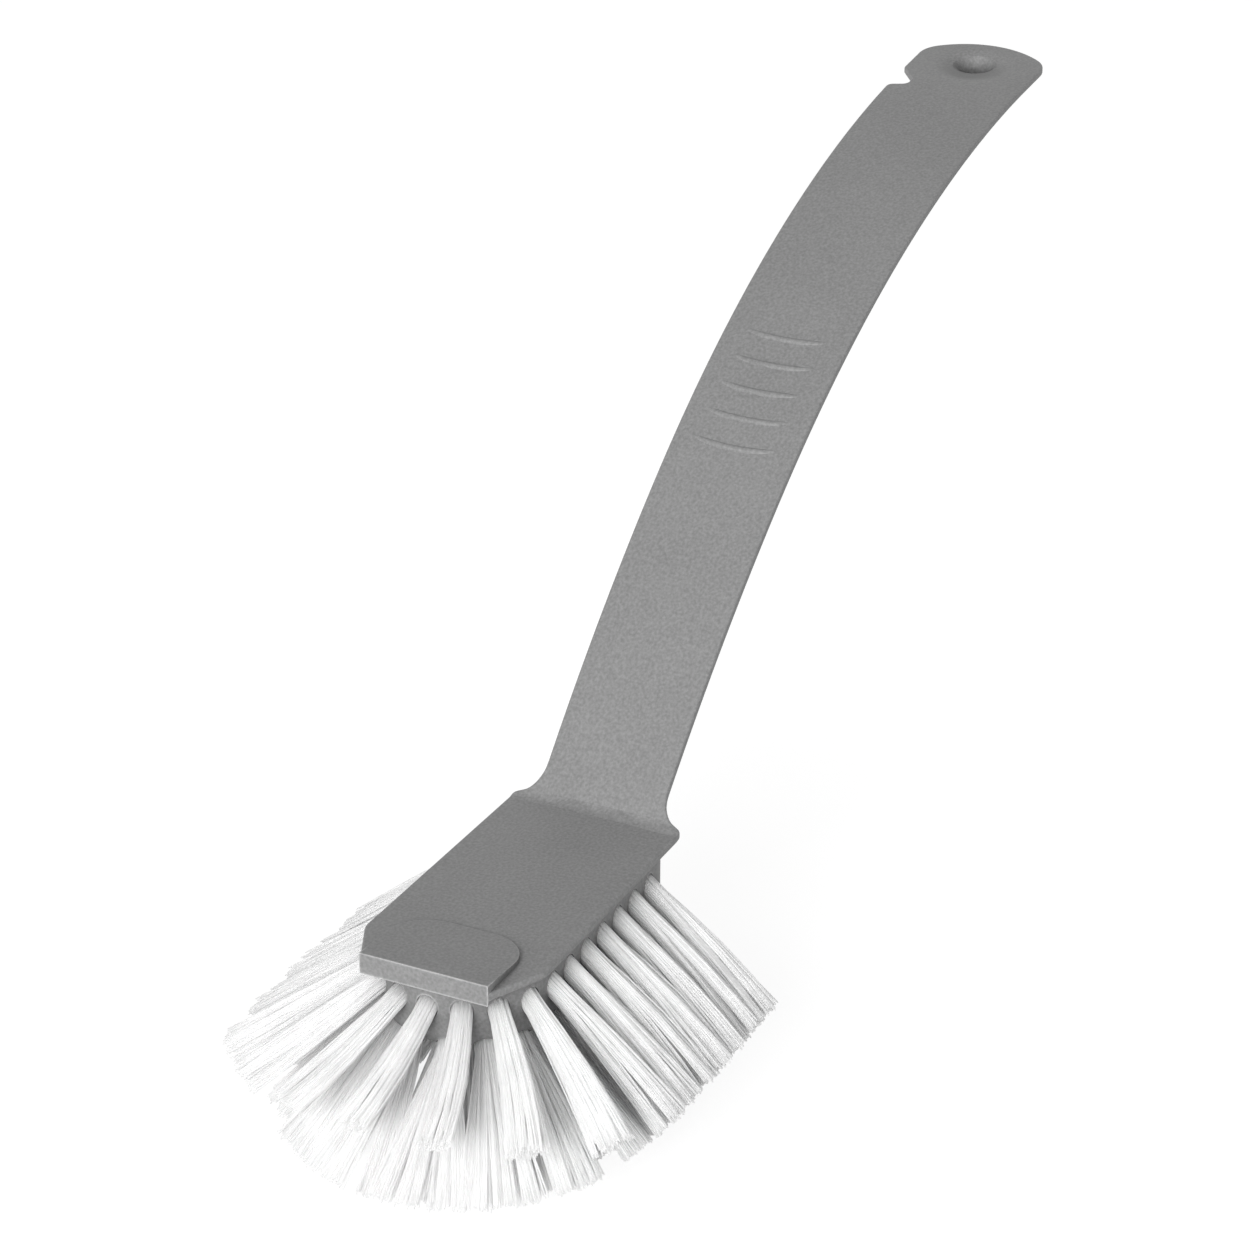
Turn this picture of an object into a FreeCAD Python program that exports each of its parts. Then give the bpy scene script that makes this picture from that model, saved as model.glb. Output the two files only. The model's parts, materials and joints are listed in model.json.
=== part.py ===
"""Dish brush: a one-piece moulded body, its filament tufts and the flat wire anchors that hold them."""
import FreeCAD, Part
import math
import os

import Sketcher

# Driving dimensions in millimetres and degrees.
# X runs back from the scraper's edge, Y across and Z up from the rim of the head.
SIZES = {
    # Rim: the thin plate that is the top of the head and of the handle
    "rim_thickness": 1.3,
    "rim_crown": 0.5,
    "rim_round": 0.45,
    "head_length": 68.8,
    "head_half_width": 18.5,
    "cheek_length": 11.7,
    "cheek_round": 6.0,
    "ear_half_width": 17.9,
    "ear_round": 1.4,
    # Scraper lip on the front of the head
    "scraper_half_width": 13.0,
    "scraper_length": 18.5,
    "scraper_rise": 2.0,
    "scraper_depth": 2.2,
    "scraper_heel": 0.8,
    "scraper_corner": 8.5,
    # Block under the head that carries the tufts
    "block_depth": 15.5,
    "block_half_width": 16.6,
    "block_front_setback": 1.1,
    "block_rear_setback": 0.8,
    "block_corner": 7.0,
    "block_round": 5.0,
    # Handle: a crease, two arcs and a straight end
    "crease_setback": 0.45,
    "crease_radius": 4.0,
    "neck_slope": 46.6,
    "lower_radius": 377.0,
    "lower_sweep": 10.7,
    "upper_radius": 254.5,
    "upper_sweep": 30.35,
    "neck_run": 2.0,
    "neck_half_width": 12.85,
    "neck_round": 4.5,
    "end_length": 17.3,
    "tip_rise": 6.0,
    "tip_half_width": 14.3,
    "tip_round": 6.0,
    "belly_half_width": 9.8,
    "belly_depth": 4.8,
    "belly_bow_length": 4.9,
    "belly_bow_setback": 3.5,
    # Notch in the left edge of the handle's end
    "notch_setback": 26.5,
    "notch_near_run": 1.2,
    "notch_floor_run": 2.8,
    "notch_far_run": 5.2,
    "notch_depth": 4.0,
    "notch_round": 1.5,
    # Hanging hole with a flared rim
    "hang_radius": 3.0,
    "hang_flare": 3.6,
    "hang_setback": 11.5,
    # Grip ribs across the handle
    "rib_start": 8.2,
    "rib_pitch": 7.0,
    "rib_height": 0.5,
    "rib_radius": 0.8,
    "rib_bow_radius": 29.0,
    "rib_half_span": 20.0,
    "rib_tilt": 25.0,
    # Tufts and their holes
    "hole_radius": 2.15,
    "hole_depth": 5.5,
    "fit_gap": 0.05,
    "tuft_pitch": 6.6,
    "tuft_collar": 2.5,
    "tip_radius": 3.1,
    "outer_drop": 6.4,
    "outer_length": 32.5,
    "outer_nose_length": 28.0,
    "outer_side_tilt": 39.0,
    "outer_nose_tilt": 30.0,
    "middle_length": 28.5,
    "middle_tilt": 47.0,
    "inner_radius": 8.5,
    "inner_pitch": 8.0,
    "inner_tilt": 60.0,
    "stand_height": 44.0,
    # Flat wire anchors
    "anchor_thickness": 0.35,
    "anchor_width": 1.8,
    "anchor_bite": 0.35,
    "anchor_lift": 0.9,
    # One overrun serves every cut
    "overrun": 3.0,
}
RIB_COUNT = 5
OUTER_STEPS = 10
MIDDLE_STEPS = 9
INNER_STEPS = 6
CENTRE_COUNT = 5
# Tufts of the middle ring stand half a pitch off from those of the outer one
STAGGER_SHARE = 0.5
# A wall's normal rises less than the first share of its length
# The normal of a top or underside rises more than the second share
WALL_LIFT_SHARE = 0.05
LEVEL_LIFT_SHARE = 0.5

vector = FreeCAD.Vector
document = FreeCAD.newDocument("dish_brush")


class Size:
    """A size that carries both its number and its spreadsheet expression."""

    def __init__(self, number, text):
        self.number = number
        self.text = text

    def __add__(self, other):
        return Size(self.number + other.number, f"({self.text} + {other.text})")

    def __sub__(self, other):
        return Size(self.number - other.number, f"({self.text} - {other.text})")

    def __mul__(self, other):
        return Size(self.number * other.number, f"({self.text} * {other.text})")

    def __truediv__(self, other):
        return Size(self.number / other.number, f"({self.text} / {other.text})")

    def __neg__(self):
        return Size(-self.number, f"(-{self.text})")


def sine(angle):
    return Size(math.sin(math.radians(angle.number)), f"sin({angle.text})")


def cosine(angle):
    return Size(math.cos(math.radians(angle.number)), f"cos({angle.text})")


def fill_sheet():
    """Write every driving dimension to the spreadsheet under its own alias."""
    sheet = document.addObject("Spreadsheet::Sheet", "sheet")
    for row, (name, number) in enumerate(SIZES.items(), start=1):
        sheet.set(f"A{row}", name)
        sheet.set(f"B{row}", str(number))
        sheet.setAlias(f"B{row}", name)
    document.recompute()
    return {name: Size(float(sheet.get(name)), f"sheet.{name}") for name in SIZES}


size = fill_sheet()
length = {name: each.number for name, each in size.items()}
zero = Size(0.0, "0")
one = Size(1.0, "1")
two = Size(2.0, "2")
upright = Size(90.0, "90")
full_depth = size["rim_thickness"] + size["belly_depth"]
nose_x = size["block_front_setback"] + size["block_half_width"]
end_slope = size["neck_slope"] - size["lower_sweep"] - size["upper_sweep"]


# Sketch helpers

def add_sketch(body, name, role):
    """Make a sketch on one of the body's own origin planes."""
    sketch = body.newObject("Sketcher::SketchObject", name)
    plane = next(item for item in body.Origin.OriginFeatures if item.Role == role)
    sketch.AttachmentSupport = [(plane, "")]
    sketch.MapMode = "FlatFace"
    return sketch


def shift_sketch(sketch, places, turn=None):
    """Bind a sketch's offset from its plane, and its turn in that plane, to sizes."""
    for axis, place in places.items():
        sketch.setExpression(f".AttachmentOffset.Base.{axis}", place.text)
    if turn:
        sketch.AttachmentOffset.Rotation = FreeCAD.Rotation(vector(0, 0, 1), turn.number)
        sketch.setExpression(".AttachmentOffset.Rotation.Angle", turn.text)


def pin(sketch, curve, end, point):
    """Bind one end of a curve to a point that is given as two sizes."""
    axes = (("DistanceX", -2, point[0]), ("DistanceY", -1, point[1]))
    for kind, axis_curve, place in axes:
        if place is zero:
            sketch.addConstraint(Sketcher.Constraint("PointOnObject", curve, end, axis_curve))
            continue
        number = sketch.addConstraint(Sketcher.Constraint(kind, -1, 1, curve, end, place.number))
        sketch.setExpression(f"Constraints[{number}]", place.text)


def draw(sketch, points, arcs=None, closed=True):
    """Draw lines from point to point; arcs gives a radius to those that turn left, or right if negative."""
    arcs = arcs or {}
    places = [vector(x.number, y.number, 0) for x, y in points]
    count = len(points) if closed else len(points) - 1
    first = sketch.GeometryCount
    ends = []
    for index in range(count):
        here = places[index]
        there = places[(index + 1) % len(places)]
        if index not in arcs:
            sketch.addGeometry(Part.LineSegment(here, there))
            ends.append((1, 2))
            continue
        radius = abs(arcs[index].number)
        chord = there - here
        rise = radius - math.sqrt(max(radius ** 2 - (chord.Length / 2) ** 2, 0.0))
        side = vector(chord.y, -chord.x, 0).normalize() * math.copysign(rise, arcs[index].number)
        middle = (here + there) / 2 + side
        left = arcs[index].number > 0
        sketch.addGeometry(Part.Arc(here, middle, there) if left else Part.Arc(there, middle, here))
        ends.append((1, 2) if left else (2, 1))
        number = sketch.addConstraint(Sketcher.Constraint("Radius", first + index, radius))
        sketch.setExpression(f"Constraints[{number}]", arcs[index].text if left else f"-{arcs[index].text}")
    for index in range(count):
        pin(sketch, first + index, ends[index][0], points[index])
        if index + 1 < count or closed:
            after = (index + 1) % count
            joint = (first + index, ends[index][1], first + after, ends[after][0])
            sketch.addConstraint(Sketcher.Constraint("Coincident", *joint))
    if not closed:
        pin(sketch, first + count - 1, ends[-1][1], points[-1])


def round_corner(sketch, corner, count, radius):
    """Round the corner of a closed outline that starts one of its lines."""
    before = (corner - 1) % count
    spots = []
    for curve in (before, corner):
        shape = sketch.Geometry[curve]
        spots.append(shape.value((shape.FirstParameter + shape.LastParameter) / 2))
    sketch.fillet(before, corner, *spots, radius.number, True, True)
    arc = max(n for n, shape in enumerate(sketch.Geometry) if isinstance(shape, Part.ArcOfCircle))
    number = sketch.addConstraint(Sketcher.Constraint("Radius", arc, radius.number))
    sketch.setExpression(f"Constraints[{number}]", radius.text)


def arc_radius(half_chord, rise):
    return (half_chord * half_chord + rise * rise) / (two * rise)


# Feature helpers

def add_feature(body, kind, name, profile, sizes=None, **settings):
    """Add a feature with its sizes bound to the spreadsheet."""
    feature = body.newObject(f"PartDesign::{kind}", name)
    feature.Profile = profile
    for key, each in (sizes or {}).items():
        feature.setExpression(key, each.text)
    for key, setting in settings.items():
        setattr(feature, key, setting)
    document.recompute()
    return feature


def round_edges(body, name, radius, wanted):
    """Fillet those edges of the body's last feature that the test picks out."""
    base = body.Tip
    names = [f"Edge{n}" for n, edge in enumerate(base.Shape.Edges, start=1) if wanted(edge, base.Shape)]
    fillet = body.newObject("PartDesign::Fillet", name)
    fillet.Base = (base, names)
    fillet.setExpression("Radius", radius.text)
    document.recompute()
    return fillet


def middle_of(edge):
    return edge.valueAt((edge.FirstParameter + edge.LastParameter) / 2)


def on_rim(edge, shape):
    """Test for edges between the rim's walls and its top or underside, but not at the scraper's front."""
    place = middle_of(edge)
    lifts = []
    for face in shape.ancestorsOfType(edge, Part.Face):
        lifts.append(abs(face.normalAt(*face.Surface.parameter(place)).z))
    between = min(lifts) < WALL_LIFT_SHARE and max(lifts) > LEVEL_LIFT_SHARE
    return between and place.x > length["rim_round"]


# Body: rim, belly, block, scraper, ribs and hanging hole, in one moulding

def bend_points():
    """Ends of the crease and the two arcs that the top of the brush follows, seen from the side."""
    slopes = (size["neck_slope"], size["neck_slope"] - size["lower_sweep"], end_slope)
    rise = size["crease_radius"] * (one - cosine(slopes[0]))
    start_x = size["head_length"] - size["crease_setback"] - rise / sine(slopes[0])
    points = [(start_x, zero), (start_x + size["crease_radius"] * sine(slopes[0]), rise)]
    for radius, before, after in zip((size["lower_radius"], size["upper_radius"]), slopes, slopes[1:]):
        x, z = points[-1]
        run = radius * (sine(before) - sine(after))
        rise = radius * (cosine(after) - cosine(before))
        points.append((x + run, z + rise))
    return points


def end_point(setback):
    """Point of the handle's straight end, a given way back from the tip along it."""
    x, z = bend_points()[-1]
    run = size["end_length"] - setback
    return x + run * cosine(end_slope), z + run * sine(end_slope)


def sweep(body, name, section, start, setback):
    """Sweep a section along the brush, from a start on the head to a way back from the handle's tip."""
    spine = add_sketch(body, f"{name}_spine", "XZ_Plane")
    points = [(start, zero), *bend_points(), end_point(setback)]
    arcs = {1: size["crease_radius"], 2: -size["lower_radius"], 3: -size["upper_radius"]}
    draw(spine, points, arcs, closed=False)
    document.recompute()
    edges = [f"Edge{number}" for number in range(1, len(points))]
    add_feature(body, "AdditivePipe", name, section, Spine=(spine, edges))


def add_rim(body):
    """Sweep the thin crowned plate along the whole brush."""
    section = add_sketch(body, "rim_section", "YZ_Plane")
    side = size["head_half_width"] + size["overrun"]
    low = -size["rim_thickness"]
    points = [(-side, low), (side, low), (side, zero), (-side, zero)]
    draw(section, points, {2: arc_radius(side, size["rim_crown"])})
    sweep(body, "rim", section, zero, -size["overrun"])


def add_belly(body):
    """Sweep the rounded underside from inside the block to the end of the handle."""
    section = add_sketch(body, "belly_section", "YZ_Plane")
    shift_sketch(section, {"z": nose_x})
    side = size["belly_half_width"]
    low = -size["rim_thickness"]
    top = low / two
    points = [(-side, top), (-side, low), (side, low), (side, top)]
    draw(section, points, {1: arc_radius(side, size["belly_depth"])})
    sweep(body, "belly", section, nose_x, size["belly_bow_setback"])


def plan_corners():
    """Corners of the brush's plan, named, on the right and left sides."""
    tip_x = end_point(zero)[0]
    neck_x = size["head_length"] + size["neck_run"]
    shoulder_x = tip_x - size["tip_rise"]
    taper = (size["tip_half_width"] - size["neck_half_width"]) / (shoulder_x - neck_x)

    def edge_y(x):
        return size["neck_half_width"] + taper * (x - neck_x)

    right = {
        "front": (zero, size["scraper_half_width"]),
        "cheek": (size["cheek_length"], size["head_half_width"]),
        "ear": (size["head_length"], size["ear_half_width"]),
        "neck": (neck_x, size["neck_half_width"]),
        "shoulder": (shoulder_x, size["tip_half_width"]),
    }
    near_x = tip_x - size["notch_setback"]
    floor_x = near_x + size["notch_near_run"]
    far_x = floor_x + size["notch_floor_run"] + size["notch_far_run"]
    floor_y = edge_y(near_x) - size["notch_depth"]
    notch = {
        "far_lip": (far_x, edge_y(far_x)),
        "far_floor": (floor_x + size["notch_floor_run"], floor_y),
        "near_floor": (floor_x, floor_y),
        "near_lip": (near_x, edge_y(near_x)),
    }
    return right, notch


def trim_plan(body):
    """Cut the swept plate to the brush's outline seen from above, and round its corners and edges."""
    right, notch = plan_corners()
    mirrored = {name: (x, -y) for name, (x, y) in right.items()}
    points = [*mirrored.values(), right["shoulder"], *notch.values()]
    points += [right[name] for name in ("neck", "ear", "cheek", "front")]
    rounds = {f"{name}_round": (right[name], mirrored[name]) for name in ("cheek", "ear", "neck")}
    rounds["tip_round"] = (right["shoulder"], mirrored["shoulder"])
    rounds["notch_round"] = tuple(notch.values())
    far_x = end_point(zero)[0] + size["overrun"] * two
    far_y = size["head_half_width"] + size["overrun"] * two
    near_x = -size["overrun"]
    sketch = add_sketch(body, "plan", "XY_Plane")
    draw(sketch, points, {len(right) - 1: arc_radius(size["tip_half_width"], size["tip_rise"])})
    for index, point in enumerate(points):
        for name, corners in rounds.items():
            if point in corners:
                round_corner(sketch, index, len(points), size[name])
    draw(sketch, [(near_x, -far_y), (far_x, -far_y), (far_x, far_y), (near_x, far_y)])
    document.recompute()
    add_feature(body, "Pocket", "plan_cut", sketch, Type="ThroughAll", SideType="Symmetric")
    round_edges(body, "rim_fillet", size["rim_round"], on_rim)


def add_end_sketch(body, name, setback):
    """Make an upright sketch on the handle's end, with its X along the handle."""
    x, z = end_point(setback)
    sketch = add_sketch(body, name, "XZ_Plane")
    shift_sketch(sketch, {"x": x, "y": z}, end_slope)
    return sketch


def bow_belly(body):
    """Round the underside up to the rim at the handle's end."""
    run = size["belly_bow_length"]
    sketch = add_end_sketch(body, "belly_bow", run + size["belly_bow_setback"])
    low = -full_depth - size["overrun"]
    far = run + size["overrun"]
    points = [(zero, low), (far, low), (far, -size["rim_thickness"])]
    points += [(run, -size["rim_thickness"]), (zero, -full_depth)]
    draw(sketch, points, {3: -arc_radius(run, size["belly_depth"])})
    document.recompute()
    add_feature(body, "Pocket", "belly_bow_cut", sketch, Type="ThroughAll", SideType="Symmetric")


def add_block(body):
    """Pad the tuft block down from the rim, with a round nose and rounded lower edges."""
    side = size["block_half_width"]
    rear_x = size["head_length"] - size["block_rear_setback"]
    sketch = add_sketch(body, "block_outline", "XY_Plane")
    points = [(nose_x, -side), (rear_x, -side), (rear_x, side), (nose_x, side), (nose_x - side, zero)]
    draw(sketch, points, {3: side, 4: side})
    for corner in (1, 2):
        round_corner(sketch, corner, len(points), size["block_corner"])
    document.recompute()
    add_feature(body, "Pad", "block", sketch, {"Length": size["block_depth"]}, Reversed=True)

    def on_bottom(edge, shape):
        return edge.BoundBox.ZMax < length["fit_gap"] - length["block_depth"]

    round_edges(body, "block_bottom_fillet", size["block_round"], on_bottom)


def add_scraper(body):
    """Pad the scraper lip on the head's front, with a round back, and slope its top down to its heel."""
    side = size["scraper_half_width"]
    heel_x = size["scraper_length"]
    front = size["scraper_rise"]
    sunk = size["scraper_depth"]
    sketch = add_sketch(body, "scraper_outline", "XY_Plane")
    shift_sketch(sketch, {"z": -sunk})
    points = [(zero, -side), (heel_x, -side), (heel_x, side), (zero, side)]
    draw(sketch, points)
    for corner in (1, 2):
        round_corner(sketch, corner, len(points), size["scraper_corner"])
    document.recompute()
    add_feature(body, "Pad", "scraper", sketch, {"Length": front + sunk})
    slope = add_sketch(body, "scraper_slope", "XZ_Plane")
    draw(slope, [(zero, front), (heel_x, size["scraper_heel"]), (heel_x + size["overrun"], front)])
    document.recompute()
    add_feature(body, "Pocket", "scraper_slope_cut", slope, Type="ThroughAll", SideType="Symmetric")


def add_ribs(body):
    """Revolve one bowed grip rib and repeat it round the centre of the handle's upper arc."""
    degrees = Size(math.degrees(1.0), "180 / pi")
    before = size["neck_slope"] - size["lower_sweep"]
    x, z = bend_points()[2]
    centre_x = x + size["upper_radius"] * sine(before)
    centre_z = z - size["upper_radius"] * cosine(before)
    sketch = add_sketch(body, "rib_section", "XZ_Plane")
    turn = before - size["rib_start"] / size["upper_radius"] * degrees
    shift_sketch(sketch, {"x": centre_x, "y": centre_z}, turn)
    height = size["upper_radius"] + size["rim_crown"] + size["rib_height"] - size["rib_radius"]
    sketch.addGeometry(Part.Circle(vector(0, height.number, 0), vector(0, 0, 1), length["rib_radius"]))
    pin(sketch, 0, 3, (zero, height))
    number = sketch.addConstraint(Sketcher.Constraint("Radius", 0, length["rib_radius"]))
    sketch.setExpression(f"Constraints[{number}]", size["rib_radius"].text)
    bow = size["rib_bow_radius"]
    foot = (bow * cosine(size["rib_tilt"]), height - bow * sine(size["rib_tilt"]))
    top = (foot[0] + bow * sine(size["rib_tilt"]), foot[1] + bow * cosine(size["rib_tilt"]))
    ends = [vector(place[0].number, place[1].number, 0) for place in (foot, top)]
    sketch.addGeometry(Part.LineSegment(*ends), True)
    pin(sketch, 1, 1, foot)
    pin(sketch, 1, 2, top)
    document.recompute()
    axis = (sketch, ["Axis0"])
    sizes = {"Angle": size["rib_half_span"] * two}
    rib = add_feature(body, "Revolution", "rib", sketch, sizes, ReferenceAxis=axis, Midplane=True)
    pattern = body.newObject("PartDesign::PolarPattern", "ribs")
    pattern.Originals = [rib]
    pattern.Axis = (sketch, ["N_Axis"])
    pattern.Reversed = True
    pattern.Occurrences = RIB_COUNT
    pattern.Mode = "Spacing"
    pattern.setExpression("Offset", (size["rib_pitch"] / size["upper_radius"] * degrees).text)
    body.Tip = pattern
    document.recompute()


def cut_hanging_hole(body):
    """Turn the hanging hole and its flared rim out of the handle's end."""
    sketch = add_end_sketch(body, "hanging_hole", size["hang_setback"])
    radius = size["hang_radius"]
    flare = size["hang_flare"]
    top = size["rim_crown"] + size["rim_round"]
    low = -full_depth - size["overrun"]
    high = top + size["overrun"]
    points = [(zero, low), (radius, low), (radius, top - flare), (radius + flare, top)]
    points += [(radius + flare, high), (zero, high)]
    draw(sketch, points, {2: -flare})
    document.recompute()
    add_feature(body, "Groove", "hanging_hole_cut", sketch, ReferenceAxis=(sketch, ["V_Axis"]))


def build_moulding():
    body = document.addObject("PartDesign::Body", "moulding")
    add_rim(body)
    trim_plan(body)
    add_belly(body)
    bow_belly(body)
    add_block(body)
    add_scraper(body)
    add_ribs(body)
    cut_hanging_hole(body)
    return body


# Tufts, their holes and their anchors

def ring_place(radius, travel):
    """Plan point and outward angle on a ring: a half circle round the nose, then two straight sides."""
    quarter = radius * math.pi / 2
    side = math.copysign(1, travel)
    if abs(travel) <= quarter:
        angle = travel / radius
        return nose_x.number - radius * math.cos(angle), radius * math.sin(angle), angle
    return nose_x.number + abs(travel) - quarter, side * radius, side * math.pi / 2


def tuft_frame(x, y, z, angle, tilt):
    """Placement at a tuft's mouth: Z out along the tuft, X level across it."""
    lean = math.radians(tilt)
    out = vector(-math.cos(angle) * math.cos(lean), math.sin(angle) * math.cos(lean), -math.sin(lean))
    level = vector(math.sin(angle), math.cos(angle), 0)
    return FreeCAD.Placement(vector(x, y, z), FreeCAD.Rotation(level, out.cross(level), out, "ZXY"))


def standing_length(tilt):
    """Free length of a tuft that starts under the block and ends on the surface the brush stands on."""
    return (size["stand_height"] - size["block_depth"] - size["tip_radius"] * cosine(tilt)) / sine(tilt)


def plan_ring(name, radius, drop, travels, tilts, reaches):
    """Name, frame and free length of a ring's tufts, from the tilts and lengths at its sides and nose."""
    tufts = []
    for number, travel in enumerate(travels, start=1):
        x, y, angle = ring_place(radius.number, travel)
        nose_share = Size(math.cos(angle), f"{math.cos(angle):.6f}")
        tilt, reach = (side + (nose - side) * nose_share for side, nose in (tilts, reaches))
        frame = tuft_frame(x, y, -drop.number, angle, tilt.number)
        tufts.append((f"{name}_tuft_{number:02d}", frame, reach))
    return tufts


def plan_outer_ring():
    """Tufts in the block's wall, lower and longer along its sides than round its nose."""
    travels = [step * length["tuft_pitch"] for step in range(-OUTER_STEPS, OUTER_STEPS + 1)]
    tilts = (size["outer_side_tilt"], size["outer_nose_tilt"])
    reaches = (size["outer_length"], size["outer_nose_length"])
    return plan_ring("outer", size["block_half_width"], size["outer_drop"], travels, tilts, reaches)


def plan_middle_ring():
    """Tufts in the block's lower rounding, square to it, half a pitch off from the outer ones."""
    steps = [step + STAGGER_SHARE for step in range(-MIDDLE_STEPS, MIDDLE_STEPS)]
    travels = [step * length["tuft_pitch"] for step in steps]
    tilt = size["middle_tilt"]
    radius = size["block_half_width"] - size["block_round"] * (one - cosine(tilt))
    drop = size["block_depth"] - size["block_round"] * (one - sine(tilt))
    return plan_ring("middle", radius, drop, travels, (tilt, tilt), (size["middle_length"],) * 2)


def plan_inner_ring():
    """Tufts in the block's underside that the brush stands on."""
    travels = [step * length["inner_pitch"] for step in range(-INNER_STEPS, INNER_STEPS + 1)]
    tilt = size["inner_tilt"]
    reaches = (standing_length(tilt),) * 2
    return plan_ring("inner", size["inner_radius"], size["block_depth"], travels, (tilt, tilt), reaches)


def plan_centre_row():
    """Upright tufts along the middle of the block's underside."""
    tufts = []
    for number in range(CENTRE_COUNT):
        x = nose_x + size["inner_pitch"] * Size(number, str(number))
        frame = tuft_frame(x.number, 0, -length["block_depth"], 0, upright.number)
        tufts.append((f"centre_tuft_{number + 1:02d}", frame, standing_length(upright)))
    return tufts


def plan_tufts():
    return [*plan_outer_ring(), *plan_middle_ring(), *plan_inner_ring(), *plan_centre_row()]


def bind(thing, **sizes):
    for key, each in sizes.items():
        thing.setExpression(key, each.text)
    return thing


def moved(frame, x, y, z):
    return frame.multiply(FreeCAD.Placement(vector(x.number, y.number, z.number), FreeCAD.Rotation()))


def group(name, members):
    compound = document.addObject("Part::Compound", name)
    compound.Links = members
    return compound


def cut(name, base, tool):
    result = document.addObject("Part::Cut", name)
    result.Base = base
    result.Tool = tool
    return result


def add_box(name, frame, thickness, breadth, width, floor):
    """Box across a tuft's axis: thickness in X, breadth in Y, width along the axis up from a floor."""
    box = bind(document.addObject("Part::Box", name), Length=thickness, Width=breadth, Height=width)
    box.Placement = moved(frame, -thickness / two, -breadth / two, floor)
    return box


def add_hole(name, frame):
    hole = bind(document.addObject("Part::Cylinder", name), Radius=size["hole_radius"])
    bind(hole, Height=size["hole_depth"] + size["overrun"])
    hole.Placement = moved(frame, zero, zero, -size["hole_depth"])
    return hole


def add_anchor(name, frame, gap):
    """Flat wire anchor across the foot of a hole, or with a gap the slot that it bites into."""
    thickness = size["anchor_thickness"] + gap * two
    span = (size["hole_radius"] + size["anchor_bite"] + gap) * two
    width = size["anchor_width"] + gap * two
    return add_box(name, frame, thickness, span, width, size["anchor_lift"] - gap - size["hole_depth"])


def add_tuft(name, frame, reach):
    """Bundle of filaments, straight in its hole, flared outside it and slotted round its anchor."""
    here = FreeCAD.Placement()
    gap = size["fit_gap"]
    radius = size["hole_radius"] - gap
    floor = gap - size["hole_depth"]
    root = document.addObject("Part::Cylinder", f"{name}_root")
    bind(root, Radius=radius, Height=size["tuft_collar"] - floor)
    root.Placement = moved(here, zero, zero, floor)
    flare = document.addObject("Part::Cone", f"{name}_flare")
    bind(flare, Radius1=radius, Radius2=size["tip_radius"], Height=reach - size["tuft_collar"])
    flare.Placement = moved(here, zero, zero, size["tuft_collar"])
    bundle = document.addObject("Part::Fuse", f"{name}_bundle")
    bundle.Base = root
    bundle.Tool = flare
    tuft = cut(name, bundle, add_anchor(f"{name}_slot", here, gap))
    tuft.Placement = frame
    return tuft


def build():
    """Build every sub-part, standing on the origin under the middle of the brush."""
    lean = math.radians(length["outer_nose_tilt"])
    reach = length["outer_nose_length"] * math.cos(lean) + length["tip_radius"] * math.sin(lean)
    front_x = length["block_front_setback"] - reach
    stand = vector(-(front_x + end_point(zero)[0].number) / 2, 0, length["stand_height"])
    origin = FreeCAD.Placement(stand, FreeCAD.Rotation())
    moulding = build_moulding()
    moulding.Placement = origin
    holes, bites, anchors, tufts = [], [], [], []
    for name, place, reach in plan_tufts():
        frame = origin.multiply(place)
        holes.append(add_hole(f"{name}_hole", frame))
        bites.append(add_anchor(f"{name}_bite", frame, size["fit_gap"]))
        anchors.append(add_anchor(f"{name}_anchor", frame, zero))
        tufts.append(add_tuft(name, frame, reach))
    drilled = cut("drilled_moulding", moulding, group("tuft_holes", holes))
    brush_body = cut("brush_body", drilled, group("anchor_bites", bites))
    nodes = [brush_body, group("tuft_anchors", anchors), *tufts]
    document.recompute()
    return nodes


def export(nodes):
    """Check every object of the document, then write each sub-part."""
    for thing in document.Objects:
        if "Invalid" in thing.State or "Error" in thing.State:
            raise RuntimeError(f"{thing.Label} failed: {thing.State}")
    for node in nodes:
        if node.Shape.isNull() or not node.Shape.isValid():
            raise RuntimeError(f"{node.Label} has no valid shape")
    os.makedirs("parts", exist_ok=True)
    for node in nodes:
        node.Shape.exportStep(f"parts/{node.Label}.step")
        box = node.Shape.BoundBox
        print(node.Label, len(node.Shape.Solids), round(node.Shape.Volume, 1), box)


export(build())
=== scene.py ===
"""Dish brush on a white ground: a matte grey moulded body with tufts of white filament."""

import json
import math

import bpy
import numpy as np
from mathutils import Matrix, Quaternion, Vector


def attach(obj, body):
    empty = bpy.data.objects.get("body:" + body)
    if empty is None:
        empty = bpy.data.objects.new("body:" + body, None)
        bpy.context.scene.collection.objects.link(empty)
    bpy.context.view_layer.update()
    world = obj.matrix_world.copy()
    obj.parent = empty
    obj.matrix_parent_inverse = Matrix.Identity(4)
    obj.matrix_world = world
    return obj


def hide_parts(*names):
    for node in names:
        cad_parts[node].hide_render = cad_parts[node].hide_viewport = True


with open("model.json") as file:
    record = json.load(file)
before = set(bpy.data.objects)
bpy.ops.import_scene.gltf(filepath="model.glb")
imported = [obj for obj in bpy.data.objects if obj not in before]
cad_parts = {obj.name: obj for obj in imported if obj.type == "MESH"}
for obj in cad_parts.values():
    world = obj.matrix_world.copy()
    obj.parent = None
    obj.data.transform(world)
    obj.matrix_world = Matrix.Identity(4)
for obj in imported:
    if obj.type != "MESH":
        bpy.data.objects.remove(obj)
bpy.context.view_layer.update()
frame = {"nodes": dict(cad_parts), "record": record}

# Camera: places in metres, roll in degrees, lens and sensor in millimetres
CAMERA_PLACE = Vector((-0.65242, -0.30019, 0.41143))
CAMERA_AIM = Vector((-0.00639, 0.01541, 0.06066))
CAMERA_ROLL = 0.32
CAMERA_LENS = 114.74
SENSOR_WIDTH = 36.0

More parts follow.
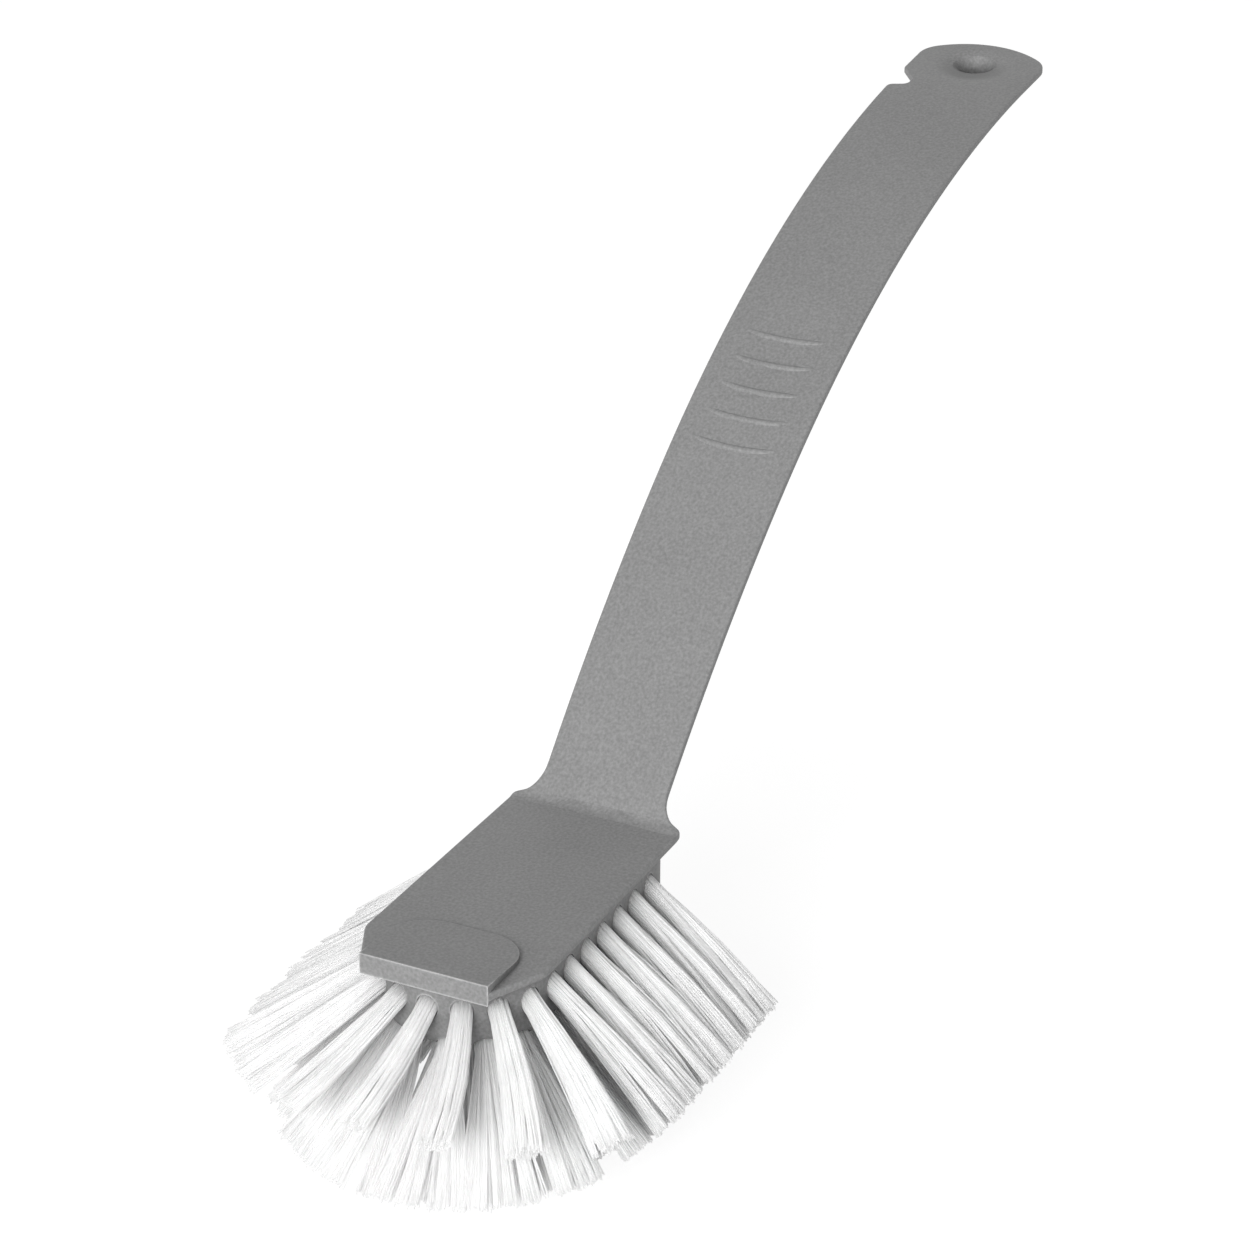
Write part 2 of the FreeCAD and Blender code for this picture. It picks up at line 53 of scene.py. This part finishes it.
# Filaments, in metres; the first stretch of each lies unseen in its hole and isn't drawn
FILAMENTS_PER_TUFT = 160
FILAMENT_RADIUS = 0.00017
FILAMENT_SIDES = 5
RING_SHARES = (0.0, 0.12, 0.3, 0.55, 0.8, 1.0)
UNSEEN_LENGTH = 0.0035
TIP_CHAMFER = 0.00007
FLOOR_CLEARANCE = 0.0002
GOLDEN_TURN = math.pi * (3 - math.sqrt(5))

# How uneven they are: the turn in radians, lengths in metres
TURN_UNEVEN = 0.12
END_UNEVEN = 0.0002
TIP_UNEVEN = 0.00035
SWAY = 0.00025
SHORT_FILAMENT = 0.0022
SHORT_FILAMENT_SHARE = 0.04
STRAY_SWING = 0.0012
STRAY_SHARE = 0.02
CLUMPS_PER_TUFT = 9
CLUMP_SHARE = 0.3

# How wide each ring's tufts fan out, as a share of the solid's tip, at the head's sides and at its nose
FAN_SHARES = {"outer": (1.6, 1.0), "middle": (1.3, 3.5), "inner": (1.3, 2.2), "centre": (1.3, 1.3)}
# How far their tips reach past the solid's tip, at the head's left, nose and right
OUTREACH = {
    "outer": (0.0034, -0.0024, 0.0022),
    "middle": (0.0006, 0.0012, 0.0006),
    "inner": (0.0, 0.0, 0.0),
    "centre": (0.0, 0.0, 0.0),
}
# How far their tips lean over to the left, all but those at the head's left
TIP_LEAN = {"outer": 0.003, "middle": 0.0006, "inner": 0.0006, "centre": 0.0}

# Reading a tuft's solid: how square its end faces are, how deep they lie, and what counts as upright
END_COSINE = 0.9
END_DEPTH = 0.0004
UPRIGHT_SLOPE = 0.0002

# Noises: the grain in metres and the levels of finer detail; their values mostly fill one span
SPECKLE_NOISE = (0.0006, 3.0)
MOTTLE_NOISE = (0.03, 2.0)
STRAND_NOISE = (0.004, 2.0)
WIRE_NOISE = (0.0003, 3.0)
NOISE_SPAN = (0.3, 0.7)

# Plastic: tones where white is one, sizes in metres
PLASTIC_TONES = (0.21, 0.3)
PLASTIC_MOTTLE = 0.012
PLASTIC_ROUGHNESS = (0.45, 0.6)
PLASTIC_IOR = 1.49
PLASTIC_SPECULAR = 0.35
SKIN_STRENGTH = 0.08
SKIN_DEPTH = 0.00003
DISH_RADIUS = 0.009
DISH_DEPTH = 0.0035

# Its edges, paler by a painted highlight: most on the scraper, where that fades a little behind its
# front
EDGE_RADIUS = 0.0007
EDGE_COSINES = (0.995, 0.8)
EDGE_OPEN_REACH = 2 * EDGE_RADIUS
EDGE_OPEN_SHARES = (0.6, 0.9)
EDGE_HIGHLIGHT = 0.05
SCRAPER_HIGHLIGHT = 0.26
SCRAPER_FADE = (0.00125, 0.00325)

# Painted shade in its recesses: darker where walls and tufts close in within a reach
PAINTED_SHADE_REACH = 0.006
PAINTED_SHADE_OPEN_SHARES = (0.45, 0.8)
PAINTED_SHADE_SHARE = 0.5

# How many looks round a point find its edges and recesses
SURFACE_SAMPLES = 8

# Bristle: tones where white is one, and shares of its length and of the light
BRISTLE_TONES = (0.885, 0.945)
BRISTLE_MOTTLE = 0.015
BRISTLE_ROUGHNESS = (0.32, 0.5)
BRISTLE_IOR = 1.53
BRISTLE_SPECULAR = 0.4
# Painted shade towards each filament's root: how much darker, over a share of its length
ROOT_SHADE = 0.04
ROOT_LENGTH_SHARE = 0.3
TRANSLUCENT_SHARE = 0.6
LAMP_PASS_SHARE = 0.87

# Anchor wire: colours and roughness
WIRE_DARK = (0.42, 0.29, 0.1, 1.0)
WIRE_LIGHT = (0.66, 0.49, 0.2, 1.0)
WIRE_ROUGHNESS = (0.25, 0.45)

# Stage: sizes in metres, tones where white is one
FLOOR_SIDE = 8.0
FLOOR_DROP = 0.0003
FLOOR_BOUNCE = 0.8
FLOOR_SHADOW = 0.3
FLOOR_GLOW = 0.85
WORLD_FILL = 0.47
# Place and side in metres, power in watts
LAMPS = {
    "key": ((-2.05, -0.12, 0.8), 1.2, 38.5),
    "fill": ((-0.6, -0.9, 0.9), 1.0, 1.5),
}


# Shader helpers

def new_material(name):
    """Make an empty node material and give its tree and output."""
    material = bpy.data.materials.new(name)
    material.use_nodes = True
    material.node_tree.nodes.clear()
    output = material.node_tree.nodes.new("ShaderNodeOutputMaterial")
    return material, material.node_tree, output


def add_node(tree, kind, inputs=None, **settings):
    """Add a shader node with its settings, and fill its inputs with constants or links."""
    node = tree.nodes.new(f"ShaderNode{kind}")
    for name, setting in settings.items():
        setattr(node, name, setting)
    for key, value in (inputs or {}).items():
        if isinstance(value, bpy.types.NodeSocket):
            tree.links.new(value, node.inputs[key])
        else:
            node.inputs[key].default_value = value
    return node


def math_node(tree, operation, first, second):
    """Join two values by a sum, a product or the like."""
    return add_node(tree, "Math", {0: first, 1: second}, operation=operation).outputs[0]


def vector_node(tree, operation, first, second=(0.0, 0.0, 0.0)):
    """Join two vectors, or measure one."""
    return add_node(tree, "VectorMath", {0: first, 1: second}, operation=operation).outputs


def mix_node(tree, share, first, second):
    """Blend two shaders by the second one's share."""
    return add_node(tree, "MixShader", {0: share, 1: first.outputs[0], 2: second.outputs[0]})


def remap(tree, value, span, target, blend="LINEAR"):
    """Map a value from one span to another and hold it there."""
    (low, high), (to_low, to_high) = span, target
    inputs = {"Value": value, "From Min": low, "From Max": high, "To Min": to_low, "To Max": to_high}
    return add_node(tree, "MapRange", inputs, interpolation_type=blend).outputs["Result"]


def grey(tone):
    """Opaque colour of a grey tone."""
    return (tone, tone, tone, 1.0)


def place_on_object(tree):
    """Place in metres, fixed to the object."""
    return add_node(tree, "TexCoord").outputs["Object"]


def noise(tree, grain, detail):
    """Noise fixed to the object, with its grain in metres."""
    inputs = {"Vector": place_on_object(tree), "Scale": 1 / grain, "Detail": detail}
    return add_node(tree, "TexNoise", inputs).outputs["Fac"]


def mottling(tree, value, depth):
    """Noise turned into a change of tone, up or down by the depth."""
    return remap(tree, value, NOISE_SPAN, (-depth, depth))


def open_sky(tree, reach):
    """Share of the view from a surface that nothing closes off within the reach."""
    return add_node(tree, "AmbientOcclusion", {"Distance": reach}, samples=SURFACE_SAMPLES).outputs["AO"]


def convex_edges(tree):
    """One along outer edges, fading to zero away from them and in corners."""
    rounded = add_node(tree, "Bevel", {"Radius": EDGE_RADIUS}, samples=SURFACE_SAMPLES).outputs["Normal"]
    true_normal = add_node(tree, "NewGeometry").outputs["Normal"]
    turn = vector_node(tree, "DOT_PRODUCT", rounded, true_normal)["Value"]
    edge = remap(tree, turn, EDGE_COSINES, (0.0, 1.0))
    outward = remap(tree, open_sky(tree, EDGE_OPEN_REACH), EDGE_OPEN_SHARES, (0.0, 1.0))
    return math_node(tree, "MULTIPLY", edge, outward)


def edge_highlight(tree, mesh):
    """How much paler the painted edge highlight makes edges: most at the scraper's front, little
    elsewhere.
    """
    front = min(vertex.co.x for vertex in mesh.vertices)
    along = add_node(tree, "SeparateXYZ", {0: place_on_object(tree)}).outputs["X"]
    return remap(tree, along, [front + step for step in SCRAPER_FADE], (SCRAPER_HIGHLIGHT, EDGE_HIGHLIGHT))


def painted_recess_shade(tree):
    """Painted shade: one on open surfaces, less where walls and tufts close in."""
    return remap(tree, open_sky(tree, PAINTED_SHADE_REACH), PAINTED_SHADE_OPEN_SHARES, (PAINTED_SHADE_SHARE, 1.0))


def dish_round_bore(tree):
    """Height of the soft dish round the hanging hole: zero on its axis, one from its radius outwards."""
    bore = next(mount for mount in frame["record"]["mounts"] if mount["kind"] == "bore")
    offset = vector_node(tree, "SUBTRACT", place_on_object(tree), bore["pos_m"])[0]
    away = vector_node(tree, "CROSS_PRODUCT", offset, bore["axis"])[0]
    distance = vector_node(tree, "LENGTH", away)["Value"]
    return remap(tree, distance, (0.0, DISH_RADIUS), (0.0, 1.0), "SMOOTHSTEP")


# Materials

def body_plastic(mesh):
    """Matte moulded plastic: mid grey with a speckle, soft mottling, a painted highlight on edges and
    painted shade in recesses.
    """
    material, tree, output = new_material("body_plastic")
    speckle = noise(tree, *SPECKLE_NOISE)
    mottle = mottling(tree, noise(tree, *MOTTLE_NOISE), PLASTIC_MOTTLE)
    tone = math_node(tree, "ADD", remap(tree, speckle, NOISE_SPAN, PLASTIC_TONES), mottle)
    # Painted highlight: outer edges made paler in the base colour
    painted_highlight = math_node(tree, "MULTIPLY", convex_edges(tree), edge_highlight(tree, mesh))
    skin = add_node(tree, "Bump", {
        "Height": speckle,
        "Strength": SKIN_STRENGTH,
        "Distance": SKIN_DEPTH,
    })
    dish = add_node(tree, "Bump", {
        "Height": dish_round_bore(tree),
        "Distance": DISH_DEPTH,
        "Normal": skin.outputs["Normal"],
    })
    shader = add_node(tree, "BsdfPrincipled", {
        # Base colour: the painted edge highlight is added, and painted shade in recesses multiplied in
        "Base Color": math_node(tree, "MULTIPLY", math_node(tree, "ADD", tone, painted_highlight), painted_recess_shade(tree)),
        "Roughness": remap(tree, speckle, NOISE_SPAN, PLASTIC_ROUGHNESS),
        "Normal": dish.outputs["Normal"],
        "IOR": PLASTIC_IOR,
        "Specular IOR Level": PLASTIC_SPECULAR,
    })
    tree.links.new(shader.outputs["BSDF"], output.inputs["Surface"])
    return material


def bristle():
    """White filament that lets light through: strands differ a little, with painted shade towards the
    root.
    """
    material, tree, output = new_material("bristle")
    strand = add_node(tree, "Attribute", attribute_name="strand").outputs["Fac"]
    along = add_node(tree, "Attribute", attribute_name="along").outputs["Fac"]
    tone = remap(tree, strand, (0.0, 1.0), BRISTLE_TONES)
    # Painted shade: darker towards the root
    root = remap(tree, along, (0.0, ROOT_LENGTH_SHARE), (-ROOT_SHADE, 0.0))
    mottle = mottling(tree, noise(tree, *STRAND_NOISE), BRISTLE_MOTTLE)
    colour = math_node(tree, "ADD", math_node(tree, "ADD", tone, root), mottle)
    outside = add_node(tree, "BsdfPrincipled", {
        "Base Color": colour,
        "Roughness": remap(tree, strand, (0.0, 1.0), BRISTLE_ROUGHNESS),
        "IOR": BRISTLE_IOR,
        "Specular IOR Level": BRISTLE_SPECULAR,
    })
    through = add_node(tree, "BsdfTranslucent", {"Color": colour})
    thin_shade = add_node(tree, "BsdfTransparent", {"Color": grey(LAMP_PASS_SHARE)})
    from_lamp = add_node(tree, "LightPath").outputs["Is Shadow Ray"]
    mix = mix_node(tree, from_lamp, mix_node(tree, TRANSLUCENT_SHARE, outside, through), thin_shade)
    tree.links.new(mix.outputs[0], output.inputs["Surface"])
    return material


def anchor_wire():
    """Drawn brass wire with fine marks."""
    material, tree, output = new_material("anchor_wire")
    marks = noise(tree, *WIRE_NOISE)
    ramp = add_node(tree, "ValToRGB", {"Fac": marks})
    ramp.color_ramp.elements[0].color = WIRE_DARK
    ramp.color_ramp.elements[1].color = WIRE_LIGHT
    shader = add_node(tree, "BsdfPrincipled", {
        "Base Color": ramp.outputs["Color"],
        "Metallic": 1.0,
        "Roughness": remap(tree, marks, NOISE_SPAN, WIRE_ROUGHNESS),
    })
    tree.links.new(shader.outputs["BSDF"], output.inputs["Surface"])
    return material


def seen_directly(tree):
    """One where the camera, or a reflection or refraction, looks at the background."""
    path = add_node(tree, "LightPath").outputs
    mirrored = math_node(tree, "MAXIMUM", path["Is Glossy Ray"], path["Is Transmission Ray"])
    return math_node(tree, "MAXIMUM", path["Is Camera Ray"], mirrored)


def floor_paint():
    """Pale ground that looks white but for a faint shadow."""
    material, tree, output = new_material("floor_paint")
    bounce = add_node(tree, "BsdfDiffuse", {"Color": grey(FLOOR_BOUNCE)})
    shadow = add_node(tree, "BsdfDiffuse", {"Color": grey(FLOOR_SHADOW)})
    glow = add_node(tree, "Emission", {"Strength": FLOOR_GLOW})
    white = add_node(tree, "AddShader", {0: shadow.outputs[0], 1: glow.outputs[0]})
    mix = mix_node(tree, seen_directly(tree), bounce, white)
    tree.links.new(mix.outputs[0], output.inputs["Surface"])
    return material


# Tufts

def flat_end(mesh, guess):
    """Centre, outward normal and radius of a solid's flat end, furthest along a guessed axis."""
    ends = [face for face in mesh.polygons if face.normal.dot(guess) > END_COSINE]
    furthest = max(face.center.dot(guess) for face in ends)
    cap = [face for face in ends if face.center.dot(guess) > furthest - END_DEPTH]
    area = sum(face.area for face in cap)
    centre = sum((face.center * face.area for face in cap), Vector()) / area
    normal = sum((face.normal * face.area for face in cap), Vector()).normalized()
    return centre, normal, math.sqrt(area / math.pi)


def read_tuft(mesh):
    """Root and tip of a tuft's solid; the tip is its wider end."""
    places = np.array([vertex.co for vertex in mesh.vertices])
    guess = Vector(np.linalg.svd(places - places.mean(axis=0), full_matrices=False)[2][0])
    ends = [flat_end(mesh, guess), flat_end(mesh, -guess)]
    return sorted(ends, key=lambda end: end[2])


def tuft_basis(axis):
    """Level direction across a tuft, the direction square to it, and the tuft's axis."""
    level = Vector((-axis.y, axis.x, 0.0))
    across = level.normalized() if level.length > UPRIGHT_SLOPE else Vector((0.0, 1.0, 0.0))
    return np.array((across, axis.cross(across), axis))


def tuft_spread(ring, axis, slope):
    """Fan share and outreach of a tuft, between those at the head's side and those at its nose."""
    nose_share = max(0.0, -axis.x) / slope
    left, nose, right = OUTREACH[ring]
    pairs = (FAN_SHARES[ring], (left if axis.y > 0 else right, nose))
    return [side + (front - side) * nose_share ** 2 for side, front in pairs]


def clumped(ends, chance):
    """Draw the filaments' ends together a little, each towards the nearest of a few clumps."""
    centres = ends[chance.choice(len(ends), CLUMPS_PER_TUFT, replace=False)]
    nearest = np.linalg.norm(ends[:, None] - centres, axis=2).argmin(axis=1)
    return ends + (centres[nearest] - ends) * CLUMP_SHARE


def filament_ends(root_radius, tip_radii, chance):
    """Where filaments start and end across the tuft: spread evenly, drawn to clumps, with strays."""
    index = np.arange(FILAMENTS_PER_TUFT)
    spread = np.sqrt((index + 0.5) / FILAMENTS_PER_TUFT)
    uneven = chance.normal(0, TURN_UNEVEN, FILAMENTS_PER_TUFT)
    angle = index * GOLDEN_TURN + uneven + chance.uniform(0, math.tau)
    circle = np.stack((np.cos(angle), np.sin(angle)), axis=1) * spread[:, None]
    start = circle * (root_radius - FILAMENT_RADIUS)
    end = clumped(circle * tip_radii, chance) + chance.normal(0, END_UNEVEN, circle.shape)
    strays = chance.random(FILAMENTS_PER_TUFT) < STRAY_SHARE
    end += strays[:, None] * chance.normal(0, STRAY_SWING, circle.shape)
    return start, end


def filament_lengths(length, chance):
    """Drawn length of each filament: uneven, with a few short ones."""
    lengths = length + chance.normal(0, TIP_UNEVEN, FILAMENTS_PER_TUFT)
    short = chance.random(FILAMENTS_PER_TUFT) < SHORT_FILAMENT_SHARE
    return lengths - short * chance.uniform(0, SHORT_FILAMENT, FILAMENTS_PER_TUFT)


def filament_lines(ring, mesh, chance):
    """Centre lines of a tuft's filaments: straight at first, then fanning and leaning to uneven tips."""
    (root, _, root_radius), (tip, axis, tip_radius) = read_tuft(mesh)
    basis = tuft_basis(axis)
    slope = max(math.hypot(axis.x, axis.y), UPRIGHT_SLOPE)
    fan_share, outreach = tuft_spread(ring, axis, slope)
    start, end = filament_ends(root_radius, (tip_radius * fan_share, tip_radius), chance)
    lengths = filament_lengths((tip - root).length - UNSEEN_LENGTH + outreach, chance)
    reach = np.sqrt(lengths ** 2 - ((end - start) ** 2).sum(axis=1))
    share = np.array(RING_SHARES)
    fan = np.clip((share - RING_SHARES[1]) / (1 - RING_SHARES[1]), 0, 1)
    bow = np.sin(fan * math.pi)
    sway = chance.normal(0, SWAY, start.shape)
    plan = start[:, None] + (end - start)[:, None] * fan[:, None] + sway[:, None] * bow[:, None]
    depth = UNSEEN_LENGTH + reach[:, None] * share
    lines = np.concatenate((plan, depth[:, :, None]), axis=2) @ basis + np.array(root)
    lines[:, :, 1] += TIP_LEAN[ring] * min(1.0, 1.0 - axis.y / slope) * fan ** 2
    return lines, basis


def keep_above_floor(lines):
    """Shorten the filaments that would run into the surface the brush stands on."""
    rooted = lines[:, :1]
    drop = rooted[:, :, 2] - lines[:, -1:, 2]
    room = rooted[:, :, 2] - FLOOR_CLEARANCE
    share = np.minimum(1.0, room / drop)
    return rooted + (lines - rooted) * share[:, :, None]


def filament_skin(lines, basis):
    """Vertices of round tubes along the lines, with a chamfered tip."""
    turns = np.arange(FILAMENT_SIDES) * math.tau / FILAMENT_SIDES
    ring = np.cos(turns)[:, None] * basis[0] + np.sin(turns)[:, None] * basis[1]
    tip = lines[:, -1:] + basis[2] * TIP_CHAMFER
    centres = np.concatenate((lines, tip), axis=1)
    radii = np.full(centres.shape[1], FILAMENT_RADIUS)
    radii[-1] -= TIP_CHAMFER
    return centres[:, :, None] + ring * radii[:, None, None]


def filament_faces(count, rings):
    """Faces of the tubes: a wall between each two rings, and a cap at each end."""
    sides = FILAMENT_SIDES
    faces = []
    for strand in range(count):
        first = strand * rings * sides
        for low in range(first, first + (rings - 1) * sides, sides):
            for side in range(sides):
                after = (side + 1) % sides
                faces.append((low + side, low + after, low + sides + after, low + sides + side))
        last = first + (rings - 1) * sides
        faces.append(tuple(range(first + sides - 1, first - 1, -1)))
        faces.append(tuple(range(last, last + sides)))
    return faces


def add_attribute(mesh, name, values, shape):
    """Give each vertex a value that the material reads."""
    layer = mesh.attributes.new(name, "FLOAT", "POINT")
    layer.data.foreach_set("value", np.broadcast_to(values, shape).astype(np.float32).ravel())


def build_tuft(name, node, material, chance):
    """Replace a tuft's solid with its separate filaments."""
    lines, basis = filament_lines(name.split("_")[0], node.data, chance)
    skin = filament_skin(keep_above_floor(lines), basis)
    count, rings, sides, _ = skin.shape
    mesh = bpy.data.meshes.new(f"{name}_filaments")
    mesh.from_pydata(skin.reshape(-1, 3), [], filament_faces(count, rings))
    mesh.polygons.foreach_set("use_smooth", [len(face.vertices) == 4 for face in mesh.polygons])
    along = np.array((*RING_SHARES, 1.0))
    add_attribute(mesh, "along", along[None, :, None], (count, rings, sides))
    add_attribute(mesh, "strand", chance.random(count)[:, None, None], (count, rings, sides))
    mesh.materials.append(material)
    tuft = bpy.data.objects.new(f"{name}_filaments", mesh)
    bpy.context.scene.collection.objects.link(tuft)
    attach(tuft, "root")
    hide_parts(name)


def dress_brush():
    """Give the moulding and the anchors their finishes and every tuft its filaments."""
    nodes = frame["nodes"]
    finishes = {"brush_body": body_plastic(nodes["brush_body"].data), "tuft_anchors": anchor_wire()}
    filament = bristle()
    for number, (name, node) in enumerate(sorted(nodes.items())):
        if name in finishes:
            node.data.materials.clear()
            node.data.materials.append(finishes[name])
        else:
            build_tuft(name, node, filament, np.random.default_rng(number))


# Stage

def add_floor():
    """Wide flat ground just under the bristles."""
    half = FLOOR_SIDE / 2
    corners = [(-half, -half), (half, -half), (half, half), (-half, half)]
    mesh = bpy.data.meshes.new("floor")
    mesh.from_pydata([(x, y, -FLOOR_DROP) for x, y in corners], [], [(0, 1, 2, 3)])
    mesh.materials.append(floor_paint())
    floor = bpy.data.objects.new("floor", mesh)
    bpy.context.scene.collection.objects.link(floor)


def add_lamp(name, place, side, power):
    """Square soft lamp that faces the middle of the brush."""
    lamp = bpy.data.lights.new(name, "AREA")
    lamp.size = side
    lamp.energy = power
    holder = bpy.data.objects.new(name, lamp)
    holder.location = place
    holder.rotation_euler = (CAMERA_AIM - Vector(place)).to_track_quat("-Z", "Y").to_euler()
    bpy.context.scene.collection.objects.link(holder)


def light_world():
    """White backdrop to the eye, with a weak even fill light."""
    world = bpy.data.worlds.new("studio")
    world.use_nodes = True
    bpy.context.scene.world = world
    tree = world.node_tree
    tree.nodes.clear()
    fill = add_node(tree, "Background", {"Strength": WORLD_FILL})
    white = add_node(tree, "Background", {"Color": grey(1.0), "Strength": 1.0})
    mix = mix_node(tree, seen_directly(tree), fill, white)
    output = tree.nodes.new("ShaderNodeOutputWorld")
    tree.links.new(mix.outputs[0], output.inputs["Surface"])


def add_camera():
    """Camera at the viewing angle of the picture."""
    lens = bpy.data.cameras.new("camera")
    lens.lens = CAMERA_LENS
    lens.sensor_width = SENSOR_WIDTH
    camera = bpy.data.objects.new("camera", lens)
    camera.location = CAMERA_PLACE
    turn = (CAMERA_AIM - CAMERA_PLACE).to_track_quat("-Z", "Y")
    roll = Quaternion((0.0, 0.0, 1.0), math.radians(CAMERA_ROLL))
    camera.rotation_euler = (turn @ roll).to_euler()
    bpy.context.scene.collection.objects.link(camera)
    bpy.context.scene.camera = camera


dress_brush()
add_floor()
for lamp_name, lamp_values in LAMPS.items():
    add_lamp(lamp_name, *lamp_values)
light_world()
add_camera()
bpy.context.scene.view_settings.view_transform = "Standard"
